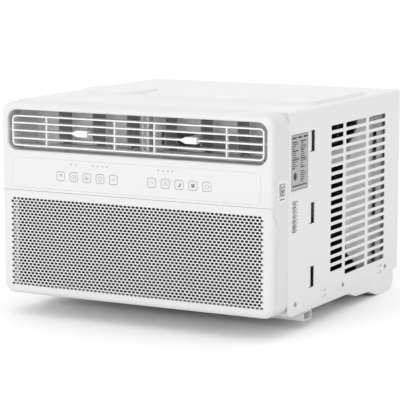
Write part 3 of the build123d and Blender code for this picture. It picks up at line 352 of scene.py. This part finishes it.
screw_steel = Finish("screw_steel", (0.36, 0.36, 0.37), 0.3, Metallic=0.85)
screw_steel.feed("Roughness", screw_steel.noise(900.0, 3.0) * 0.3 + 0.2)
# The near-black of the cross over each head is painted shade, standing in for the driving recess.
screw_recess_shade = grained("screw_recess_shade", (0.05, 0.05, 0.05), 0.6)
head = turned(HEAD_PROFILE, HEAD_SIDES)
head_points, head_faces, cross_points, cross_faces = [], [], [], []
for side in (-1, 1):
    for back, up in SCREW_PLACES:
        first = len(head_faces) * head.shape[0] * head.shape[1]
        turned_out = at(side * (SIDE + head[..., 2]), back + side * head[..., 0], up + head[..., 1])
        head_points.append(turned_out.reshape(-1, 3))
        head_faces.append(grid_faces(*head.shape[:2]) + first)
        for reach, width in ((CROSS_REACH, CROSS_WIDTH), (CROSS_WIDTH, CROSS_REACH)):
            corners = np.array([(-reach, -width), (reach, -width), (reach, width), (-reach, width)])
            cross_faces.append(np.arange(4) + 4 * len(cross_faces))
            lifted = side * (SIDE + CROSS_LIFT)
            cross_points.append(at(lifted, back + side * corners[:, 0], up + corners[:, 1]))
build("cabinet_screw_heads", np.concatenate(head_points), np.concatenate(head_faces), screw_steel.material,
      "root", ("cabinet_screws",))
# Flat dark crosses a hair over the crowns: painted shade of the recesses.
build("cabinet_screw_cross_shade", np.concatenate(cross_points), cross_faces, screw_recess_shade, "root",
      wall=0.00003)

# --------------------------------------------------------------------------------------------------------
# Front. White moulded plastic: the fascia with its louver bay, and the intake panel that swings down from it.
# The panel's field is a thin sheet pierced with thirty staggered rows of oval holes.

FRONT_WHITE = (0.632, 0.632, 0.632)
HOLE_PITCH = 7.89
ROW_PITCH = 5.19
ROWS = 30
HOLES = 62  # in each full row; the rows between have one fewer and start half a pitch in
HOLE_HALF = (3.2, 2.15)
HOLE_FLARE = 1.18  # the holes widen towards the back
HOLE_POWER = 2.3  # 2 is an ellipse, more is squarer
FIELD_UP = 93.2
FIELD_THICK = 1.6
FIELD_HALF = (HOLES * HOLE_PITCH / 2, ROWS * ROW_PITCH / 2)

front_plastic = grained("front_plastic", FRONT_WHITE, 0.36, grain=0.9, depth=0.02, drift=0.008)
skin("front_fascia", front_plastic)
panel = skin("grille_panel", front_plastic)

opened = bmesh.new()
opened.from_mesh(panel.data)
low_left = at(-FIELD_HALF[0], 0, FIELD_UP - FIELD_HALF[1])
high_right = at(FIELD_HALF[0], FIELD_THICK, FIELD_UP + FIELD_HALF[1])
for corner in (low_left, high_right):
    for axis in ((1, 0, 0), (0, 0, 1)):
        geometry = [*opened.verts, *opened.edges, *opened.faces]
        bmesh.ops.bisect_plane(opened, geom=geometry, plane_co=corner, plane_no=axis)
inside = []
for face in opened.faces:
    x, y, z = face.calc_center_median()
    in_field = low_left[0] < x < high_right[0] and low_left[2] < z < high_right[2]
    if in_field and y < high_right[1] + 0.0002:
        inside.append(face)
bmesh.ops.delete(opened, geom=inside, context="FACES")
opened.to_mesh(panel.data)
opened.free()
finish_edges(panel.data)

# A cell is four rings of twelve points: its border and its hole at the front, then the same at the back.
turn = np.radians(np.arange(0, 360, 30))
across, along = np.cos(turn), np.sin(turn)
hole_ring = np.stack([np.sign(across) * abs(across) ** (2 / HOLE_POWER) * HOLE_HALF[0],
                      np.sign(along) * abs(along) ** (2 / HOLE_POWER) * HOLE_HALF[1]], 1)
quarter = HOLE_PITCH / 4
border_x = np.array([2, 2, 1, 0, -1, -2, -2, -2, -1, 0, 1, 2]) * quarter
border_up = np.array([0, 1, 1, 1, 1, 1, 0, -1, -1, -1, -1, -1]) * ROW_PITCH / 2
border_ring = np.stack([border_x, border_up], 1)
rings = np.stack([border_ring, hole_ring, hole_ring * HOLE_FLARE, border_ring])
ring_back = np.array([0.0, 0.0, FIELD_THICK, FIELD_THICK])
ring_step = np.arange(12)
cell_faces = np.concatenate([
    np.stack([ring_step, (ring_step + 1) % 12, (ring_step + 1) % 12 + 12, ring_step + 12], 1) + 12 * ring
    for ring in range(3)
])
columns = np.concatenate([np.arange(HOLES - row % 2) + (row % 2) / 2 for row in range(ROWS)])
rows = np.repeat(np.arange(ROWS), [HOLES - row % 2 for row in range(ROWS)])
cell_x = (columns + 0.5) * HOLE_PITCH - FIELD_HALF[0]
cell_up = (rows + 0.5) * ROW_PITCH - FIELD_HALF[1] + FIELD_UP
field_points = at(cell_x[:, None, None] + rings[None, :, :, 0], ring_back[None, :, None],
                  cell_up[:, None, None] + rings[None, :, :, 1])
field_faces = (cell_faces[None] + 48 * np.arange(len(cell_x))[:, None, None]).reshape(-1, 4)
# Plain half cells close the ends of the shorter rows.
plug_x = np.array([0, quarter, 2 * quarter, 2 * quarter, quarter, 0])
plug_up = np.array([-1, -1, -1, 1, 1, 1]) * ROW_PITCH / 2
plug_points, plug_faces = [], []
for row in range(1, ROWS, 2):
    for start in (-FIELD_HALF[0], FIELD_HALF[0] - 2 * quarter):
        up = (row + 0.5) * ROW_PITCH - FIELD_HALF[1] + FIELD_UP
        first = field_points.size // 3 + 6 * len(plug_points)
        plug_points.append(at(start + plug_x, 0.0, up + plug_up))
        plug_faces.append(np.arange(6) + first)
field_points = np.concatenate([field_points.reshape(-1, 3), *plug_points])
build("intake_field", field_points, [*field_faces, *plug_faces], front_plastic, "intake")

# --------------------------------------------------------------------------------------------------------
# Louver. A satin white frame of thin blades and ribs that tilts in the bay, with two knobs on its middle
# blade. Behind it are the duct, the upright vanes that the knobs turn and the tie bars that join them.

LOUVER_WHITE = (0.76, 0.76, 0.76)
# The vanes' and tie bars' mid grey is painted shade: the shade inside the duct put into their colour.
VANE_SHADE_GREY = (0.40, 0.40, 0.40)
DUCT_WHITE = (0.90, 0.90, 0.90)

louver_plastic = grained("louver_plastic", LOUVER_WHITE, 0.28, grain=0.6, depth=0.01, drift=0.008)
for node in ("louver_frame", "left_knob", "right_knob"):
    skin(node, louver_plastic)
# Vanes and tie bars: mid grey as painted shade.
vane_plastic = grained("vane_plastic", VANE_SHADE_GREY, 0.5, grain=0.8, depth=0.02)
for node in ("left_tie_bar", "right_tie_bar", *(f"vane_{number}" for number in range(1, 7))):
    skin(node, vane_plastic, bevel=0.0002)
duct_plastic = grained("duct_plastic", DUCT_WHITE, 0.5, grain=1.0, depth=0.02)
skin("outlet_duct", duct_plastic)
skin("vane_post", duct_plastic)

# --------------------------------------------------------------------------------------------------------
# Control panel. A white face film with ten touch keys, smoked light pipes over them and a receiver window.
# The keys carry dark grey signs, screen printed.

PRINT_LIFT = 0.02
KEY_NAMES = ("remote", "timer", "mode", "eco", "down", "up", "fan", "sleep", "speed", "power")
SIGN_LINE = 0.5
KEY_RIM, KEY_RIM_CORNER, KEY_RIM_LINE = 7.6, 3.6, 0.5
PRINT_GREY = (0.07, 0.07, 0.075)
# Grey of the thin rims: round the keys it is painted shade of the key edges.
RIM_GREY = (0.36, 0.36, 0.36)


def arc(x, up, radius, start=0.0, stop=360.0, count=25):
    """Points round a centre: the radius times the cosine and sine of evenly spaced angles."""
    angles = np.radians(np.linspace(start, stop, count))
    return np.stack([x + radius * np.cos(angles), up + radius * np.sin(angles)], 1)


def rounded(half_width, half_height, corner, x=0.0, up=0.0):
    """A closed rounded rectangle: four quarter arcs about its corners' centres."""
    reach, rise = half_width - corner, half_height - corner
    centres = ((reach, rise, 0), (-reach, rise, 90), (-reach, -rise, 180), (reach, -rise, 270))
    arcs = [arc(x + dx, up + dy, corner, start, start + 90, 7) for dx, dy, start in centres]
    return np.concatenate([*arcs, arcs[0][:1]])


def stroke(points, width):
    """The two edges of a line: its points moved half its width to either side, square to the run there."""
    points = np.asarray(points, float)
    run = np.gradient(points, axis=0)
    aside = np.stack([-run[:, 1], run[:, 0]], 1) / np.linalg.norm(run, axis=1)[:, None] * width / 2
    return points + aside, points - aside


def disc(x, up, radius):
    return arc(x, up, radius), arc(x, up, 0.001)


def bar(x, up, width, height):
    """A filled rectangle between its lower and upper edges."""
    ends = np.array([x - width / 2, x + width / 2])
    return np.stack([ends, 0 * ends + up - height / 2], 1), np.stack([ends, 0 * ends + up + height / 2], 1)


def printed(name, bands, lay, ink, body):
    """A flat print, also used for the painted shade of the key rims. Each band is a row of quads between its
    two edges; `lay` puts its points on a surface.
    """
    points, faces, first = [], [], 0
    for one, other in bands:
        count = len(one)
        step = np.arange(count - 1) + first
        quads = np.stack([step, step + 1, step + 1 + count, step + count], 1)
        both = np.concatenate([one, other])
        corners = both[quads - first]
        spans = corners[:, 2] - corners[:, 0], corners[:, 3] - corners[:, 1]
        backwards = spans[0][:, 0] * spans[1][:, 1] < spans[0][:, 1] * spans[1][:, 0]
        quads[backwards] = quads[backwards, ::-1]
        points.append(both)
        faces.append(quads)
        first += 2 * count
    flat = np.concatenate(points)
    return build(name, lay(flat[:, 0], flat[:, 1]), np.concatenate(faces), ink, body, wall=0.00002)


fan_blades = [(arc(0, 0, 1.0, turn, turn + 50, 8), arc(0, 0, 3.9, turn + 5, turn + 62, 8))
              for turn in (20, 110, 200, 290)]
drop = [(0, 3.6), (-1.5, 1.0), (-1.7, -0.2), (-1.0, -1.4), (0, -1.7)]
drop += [(1.0, -1.4), (1.7, -0.2), (1.5, 1.0), (0, 3.6)]
swept = [
    arc(1.7 * math.cos(math.radians(turn)), 1.7 * math.sin(math.radians(turn)), 1.8, turn - 100, turn + 100, 12)
    for turn in (90, 210, 330)
]
key_signs = {
    "remote": [stroke(arc(0, -1.2, radius, 40, 140, 10), SIGN_LINE) for radius in (2.0, 3.4, 4.8)]
    + [disc(0, -1.2, 0.7)],
    "timer": [stroke(arc(0, 0, 3.8), SIGN_LINE), stroke([(0, 2.4), (0, 0), (1.8, -1.0)], SIGN_LINE)],
    "mode": [stroke(np.array(drop) * 0.8 + (dx, dy), SIGN_LINE) for dx, dy in ((-1.7, 0.6), (1.9, -1.2))]
    + [stroke(arc(-1.6, -2.6, 1.1), SIGN_LINE)],
    "eco": [stroke(arc(0, 0, 3.9), SIGN_LINE), stroke([(-1.9, 0.2), (-0.5, -1.3), (2.1, 1.6)], SIGN_LINE)],
    "down": [stroke([(-3.2, 1.5), (0, -1.7), (3.2, 1.5)], SIGN_LINE * 1.2)],
    "up": [stroke([(-3.2, -1.5), (0, 1.7), (3.2, -1.5)], SIGN_LINE * 1.2)],
    "fan": [stroke(blade, SIGN_LINE) for blade in swept] + [disc(0, 0, 0.6)],
    "sleep": [(arc(-0.4, 0, 3.6, 215, 425, 18), arc(-1.7, 0.9, 3.0, 236, 404, 18))],
    "speed": fan_blades + [disc(0, 0, 1.1)],
    "power": [stroke(arc(0, 0, 3.6, -235, 55, 24), SIGN_LINE), stroke([(0, 1.8), (0, 4.4)], SIGN_LINE)],
}

key_plastic = grained("key_plastic", FRONT_WHITE, 0.4, grain=0.9, depth=0.02, drift=0.008)
overlay_film = grained("overlay_film", shade(FRONT_WHITE, 1.012), 0.45, grain=0.5, depth=0.008, drift=0.006)
sign_ink = grained("sign_ink", PRINT_GREY, 0.5, grain=0.3, depth=0.003)
rim_ink_and_shade = grained("rim_ink_and_shade", RIM_GREY, 0.5, grain=0.3, depth=0.003)
smoked_light = grained("smoked_light", (0.07, 0.075, 0.08), 0.2, grain=0.8, depth=0.005, Coat_Weight=0.5)
window_plastic = grained("window_plastic", (0.68, 0.68, 0.68), 0.2, grain=0.8, depth=0.005, Coat_Weight=0.4)
skin("control_overlay", overlay_film, bevel=0.0002)
skin("indicator_lights", smoked_light, bevel=0.0001)
skin("remote_window", window_plastic, bevel=0.0001)


def on_face_of(node):
    """Lays flat points on the front of a node, about the node's middle."""
    low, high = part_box(node)
    middle_x, middle_up = (low[0] + high[0]) * 500, (low[2] + high[2]) * 500 - SUMP_DROP
    front = low[1] * 1000 + HALF_DEPTH - PRINT_LIFT
    return lambda x, up: at(middle_x + x, front, middle_up + up)


for name in KEY_NAMES:
    skin("key_" + name, key_plastic, bevel=0.0002)
    face = on_face_of("key_" + name)
    printed(f"sign_{name}", key_signs[name], face, sign_ink, name + "_key")
    # A thin grey rim round the key's edge: painted shade of the gap round the raised key.
    rim = [(rounded(KEY_RIM, KEY_RIM, KEY_RIM_CORNER),
            rounded(KEY_RIM - KEY_RIM_LINE, KEY_RIM - KEY_RIM_LINE, KEY_RIM_CORNER - KEY_RIM_LINE))]
    printed(f"rim_{name}", rim, face, rim_ink_and_shade, name + "_key")
window_rim = [(rounded(4.6, 3.1, 1.0), rounded(4.2, 2.7, 0.7))]
printed("window_rim", window_rim, on_face_of("remote_window"), rim_ink_and_shade, "root")

# --------------------------------------------------------------------------------------------------------
# Labels. Film labels on the right side: a rating plate whose entries are plain bars, a strip of level bars
# and a square of scattered blocks. None of them spells or encodes anything.

LABEL_SEED = 7
LABEL_THICK = 0.25
LABEL_FACE = SIDE + LABEL_THICK + PRINT_LIFT
LABEL_GREY = (0.36, 0.36, 0.365)
LABEL_INK = (0.015, 0.015, 0.017)
PLATE = (65.0, 131.0, 203.5, 297.6)  # back from, to, up from, to
STRIP = (67.0, 92.0, 130.0, 192.0)
SQUARE = (14.0, 46.0, 191.0, 227.0)
BLOCK = 1.55

chance = np.random.default_rng(LABEL_SEED)
plate_film = grained("plate_film", LABEL_GREY, 0.35, grain=1.4, depth=0.01)
strip_film = grained("strip_film", (0.70, 0.70, 0.70), 0.35, grain=1.4, depth=0.01)
label_ink = grained("label_ink", LABEL_INK, 0.5, grain=0.3, depth=0.003)
skin("rating_label", plate_film, bevel=0.0)
skin("barcode_label", strip_film, bevel=0.0)
skin("inspection_label", strip_film, bevel=0.0)


def on_side(back, up):
    return at(LABEL_FACE, back, up)


middle = ((PLATE[0] + PLATE[1]) / 2, (PLATE[2] + PLATE[3]) / 2)
half = ((PLATE[1] - PLATE[0]) / 2 - 1, (PLATE[3] - PLATE[2]) / 2 - 1)
plate_bands = [(rounded(*half, 1.5, *middle), rounded(half[0] - 0.7, half[1] - 0.7, 1.0, *middle))]
plate_bands += [bar(PLATE[0] + 12 + 22 * n, PLATE[3] - 6, 17, 3.2) for n in range(3)]
for line in range(13):
    up = PLATE[3] - 13 - 3.6 * line
    for start, room in ((PLATE[0] + 4, 26), (PLATE[0] + 36, 24)):
        length = room * chance.uniform(0.35, 1.0)
        plate_bands.append(bar(start + length / 2, up, length, 1.5 if line % 4 else 2.3))
plate_bands.append(disc(PLATE[0] + 15, PLATE[2] + 24, 6.5))
for line in range(6):
    length = 22 * chance.uniform(0.4, 1.0)
    plate_bands.append(bar(PLATE[0] + 36 + length / 2, PLATE[2] + 31 - 3.4 * line, length, 1.5))
plate_bands.append(bar(middle[0], PLATE[2] + 8, 56, 2.2))
printed("rating_print", plate_bands, on_side, label_ink, "root")

strip_bands, up = [], STRIP[2] + 4
while up < STRIP[3] - 4:
    thick = chance.choice([0.6, 1.1, 1.8])
    strip_bands.append(bar(STRIP[0] + 10, up + thick / 2, 14, thick))
    up += thick + chance.choice([0.7, 1.2])
for step in range(9):
    strip_bands.append(bar(STRIP[0] + 21, STRIP[2] + 7 + 6 * step, 2.4, 3.6))
printed("strip_print", strip_bands, on_side, label_ink, "root")

square_bands = []
for column in range(14):
    for row in range(14):
        if chance.random() < 0.52 or (column in (0, 13) and row % 2):
            back, up = SQUARE[0] + 6 + BLOCK * column, SQUARE[2] + 10 + BLOCK * row
            square_bands.append(bar(back, up, BLOCK, BLOCK))
square_bands += [bar(SQUARE[0] + 16, SQUARE[2] + 5, 20, 1.6)]
low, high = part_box("inspection_label")
square_face = high[0] * 1000 + PRINT_LIFT
printed("square_print", square_bands, lambda back, up: at(square_face, back, up), label_ink, "root")

# --------------------------------------------------------------------------------------------------------
# Coils. Upright aluminium fins pressed on tarnished copper tubes that run to and fro, with return bends
# outside zinc-plated end plates.

FIN_PITCH = 2.1
FIN_THICK = 0.16
PLATE_THICK = 1.5
TUBE_RADIUS = 4.4
TUBE_SIDES = 14
COILS = {  # half width, back, depth, low, high, tubes
    "condenser_coil": (246.0, 478.0, 44.0, -8.0, 326.0, 12),
    "evaporator_coil": (232.0, 24.0, 34.0, 15.0, 236.0, 8),
}
BOX_FACES = np.array([(0, 2, 3, 1), (4, 5, 7, 6), (0, 1, 5, 4), (2, 6, 7, 3), (0, 4, 6, 2), (1, 3, 7, 5)])


def boxes(lows, highs):
    """Boxes between low and high corners: every choice of low or high for x, back and up."""
    lows, highs = np.broadcast_arrays(np.atleast_2d(lows).astype(float), np.atleast_2d(highs).astype(float))
    pick = np.array([(i, j, k) for i in (0, 1) for j in (0, 1) for k in (0, 1)])
    corners = np.where(pick[None], highs[:, None], lows[:, None])
    faces = BOX_FACES[None] + 8 * np.arange(len(lows))[:, None, None]
    return at(*np.moveaxis(corners, -1, 0)).reshape(-1, 3), faces.reshape(-1, 4)


def serpentine(reach, step, low, tubes):
    """The tubes' middle line: level runs a step apart, each joined to the next by a half circle."""
    path = []
    for tube in range(tubes):
        side = 1 if tube % 2 else -1
        up = low + step * (tube + 0.5)
        path.append([(-side * reach, up), (side * reach, up)] if tube == 0 else [(side * reach, up)])
        if tube < tubes - 1:
            angles = np.radians(np.linspace(-90, 90, 9)[1:])
            bend_x, bend_up = step / 2 * np.cos(angles), step / 2 * (1 + np.sin(angles))
            path.append(np.stack([side * (reach + bend_x), up + bend_up], 1))
    return np.concatenate(path)


def pipe(path, back, radius):
    """A tube along a flat path: at each point a circle in the plane of the path's normal and the depth."""
    run = np.gradient(path, axis=0)
    aside = np.stack([-run[:, 1], run[:, 0]], 1) / np.linalg.norm(run, axis=1)[:, None]
    angles = np.linspace(0, 2 * np.pi, TUBE_SIDES + 1)
    x = path[:, :1] + radius * np.cos(angles) * aside[:, :1]
    up = path[:, 1:] + radius * np.cos(angles) * aside[:, 1:]
    return at(x, back + radius * np.sin(angles), up), grid_faces(len(path), TUBE_SIDES + 1)


galvanised = Finish("galvanised", (0.50, 0.51, 0.52), 0.4, Metallic=0.7)
spangle = galvanised.node("ShaderNodeTexVoronoi", {}, Vector=galvanised.place(), Scale=160.0)
galvanised.feed("Base Color", galvanised.blend(spangle, (0.58, 0.59, 0.60), (0.40, 0.41, 0.42)))
galvanised.feed("Roughness", spangle * 0.25 + 0.28)
fin_metal = Finish("fin_metal", (0.62, 0.63, 0.64), 0.38, Metallic=0.8)
fin_metal.feed("Roughness", fin_metal.noise(300.0, 3.0) * 0.25 + 0.25)
fin_metal.bump(fin_metal.noise(500.0, stretch=(1, 1, 6)), 0.00003)
copper = Finish("copper", (0.22, 0.13, 0.09), 0.4, Metallic=0.9)
tarnish = copper.noise(35.0, 5.0)
copper.feed("Base Color", copper.blend(tarnish, (0.30, 0.17, 0.12), (0.14, 0.09, 0.065)))
copper.feed("Roughness", tarnish * 0.35 + 0.18)

for node, (half_width, back, depth, low, high, tubes) in COILS.items():
    plate_x = half_width - 14
    step = (high - low) / tubes
    fin_x = np.arange(-plate_x + 2, plate_x - 2, FIN_PITCH)
    fin_low = np.stack([fin_x, 0 * fin_x + back, 0 * fin_x + low], 1)
    points, faces = boxes(fin_low, fin_low + (FIN_THICK, depth, high - low))
    build(node + "_fins", points, faces, fin_metal.material, "root", (node,))
    ends = np.array([(-plate_x, back, low), (plate_x - PLATE_THICK, back, low)])
    points, faces = boxes(ends, ends + (PLATE_THICK, depth, high - low))
    build(node + "_end_plates", points, faces, galvanised.material, "root", bevel=0.0002)
    points, faces = pipe(serpentine(half_width - 12, step, low, tubes), back + depth / 2, TUBE_RADIUS)
    build(node + "_tubes", points, faces, copper.material, "root")
for node in ("suction_tube", "capillary_tube"):
    skin(node, copper.material, bevel=0.0)

# --------------------------------------------------------------------------------------------------------
# Sheet-metal parts inside: the bulkhead, brackets, brace and electrical box are zinc-coated sheet. The shroud
# is moulded: its sides light grey. Its front plate is black as painted shade, for the dark space behind it.

SHROUD_GREY = (0.66, 0.66, 0.66)
SHROUD_SIDE = 0.2345

for node in ("bulkhead", "motor_bracket", "side_brace", "control_box"):
    skin(node, galvanised.material)
shroud_plastic = grained("shroud_plastic", SHROUD_GREY, 0.5, grain=1.2, depth=0.03)
black_plastic_and_shade = grained("black_plastic_and_shade", (0.012, 0.012, 0.012), 0.45, grain=0.8, depth=0.02)
# Faces nearer the middle than the shroud's sides, its front plate, take the black: painted shade.
skin("fan_shroud", shroud_plastic, black_plastic_and_shade, choose=lambda centres: abs(centres[:, 0]) < SHROUD_SIDE)

# --------------------------------------------------------------------------------------------------------
# Moving air parts: blower wheel and fan in black plastic, bead-foam volute and tray, the filter's fine mesh.

for node in ("blower_wheel", "condenser_fan"):
    skin(node, black_plastic_and_shade, bevel=0.0002)
bead_foam = Finish("bead_foam", (0.70, 0.70, 0.69), 0.8)
beads = bead_foam.node("ShaderNodeTexVoronoi", {"feature": "DISTANCE_TO_EDGE"}, Vector=bead_foam.place(),
                       Scale=320.0)
bead_foam.feed("Base Color", bead_foam.blend(bead_foam.noise(12.0), (0.66, 0.66, 0.65), (0.74, 0.74, 0.73)))
bead_foam.bump(beads, 0.0004)
for node in ("scroll_housing", "drain_tray"):
    skin(node, bead_foam.material, bevel=0.0008)

FILTER_THREAD = 1.6  # pitch of the mesh, millimetres
filter_mesh = Finish("filter_mesh", (0.02, 0.02, 0.02), 0.6)
across, _, rise = filter_mesh.axes(filter_mesh.place((1000 / FILTER_THREAD,) * 3))
thread = 1 - (abs(across % 1 - 0.5) < 0.36) * (abs(rise % 1 - 0.5) < 0.36)
filter_mesh.feed("Base Color", filter_mesh.blend(thread, (0.004, 0.004, 0.004), (0.03, 0.03, 0.032)))
filter_mesh.bump(thread, 0.0003)
skin("air_filter", filter_mesh.material)

# --------------------------------------------------------------------------------------------------------
# Refrigeration and electrical parts: black-painted compressor and accumulator, cast motor, capacitor can,
# ground shaft, rubber mounts, plugs and gland, a black sleeve over the hot discharge tube, and the board
# behind the keys.

can_paint = grained("can_paint", (0.012, 0.012, 0.013), 0.3, grain=2.2, depth=0.05, Coat_Weight=0.3)
for node in ("compressor", "accumulator"):
    skin(node, can_paint)
cast_metal = grained("cast_metal", (0.42, 0.43, 0.44), 0.45, grain=0.7, depth=0.05, Metallic=0.7)
for node in ("fan_motor", "run_capacitor"):
    skin(node, cast_metal)
ground_steel = Finish("ground_steel", (0.55, 0.55, 0.56), 0.25, Metallic=0.9)
ground_steel.feed("Roughness", ground_steel.noise(1500.0, stretch=(1, 0.05, 1)) * 0.3 + 0.15)
skin("motor_shaft", ground_steel.material)
skin("board_screws", screw_steel.material, bevel=0.0001)
rubber = grained("rubber", (0.02, 0.02, 0.02), 0.75, grain=0.9, depth=0.05)
for node in ("compressor_mounts", "drain_plug", "cord_gland"):
    skin(node, rubber)
skin("discharge_tube", rubber, bevel=0.0)
board_green = Finish("board_green", (0.03, 0.16, 0.07), 0.4, Coat_Weight=0.3)
tracks = board_green.node("ShaderNodeTexBrick", {}, Vector=board_green.place(), Scale=90.0)
board_green.feed("Base Color", board_green.blend(tracks, (0.03, 0.16, 0.07), (0.05, 0.24, 0.11)))
skin("control_board", board_green.material, bevel=0.0001)
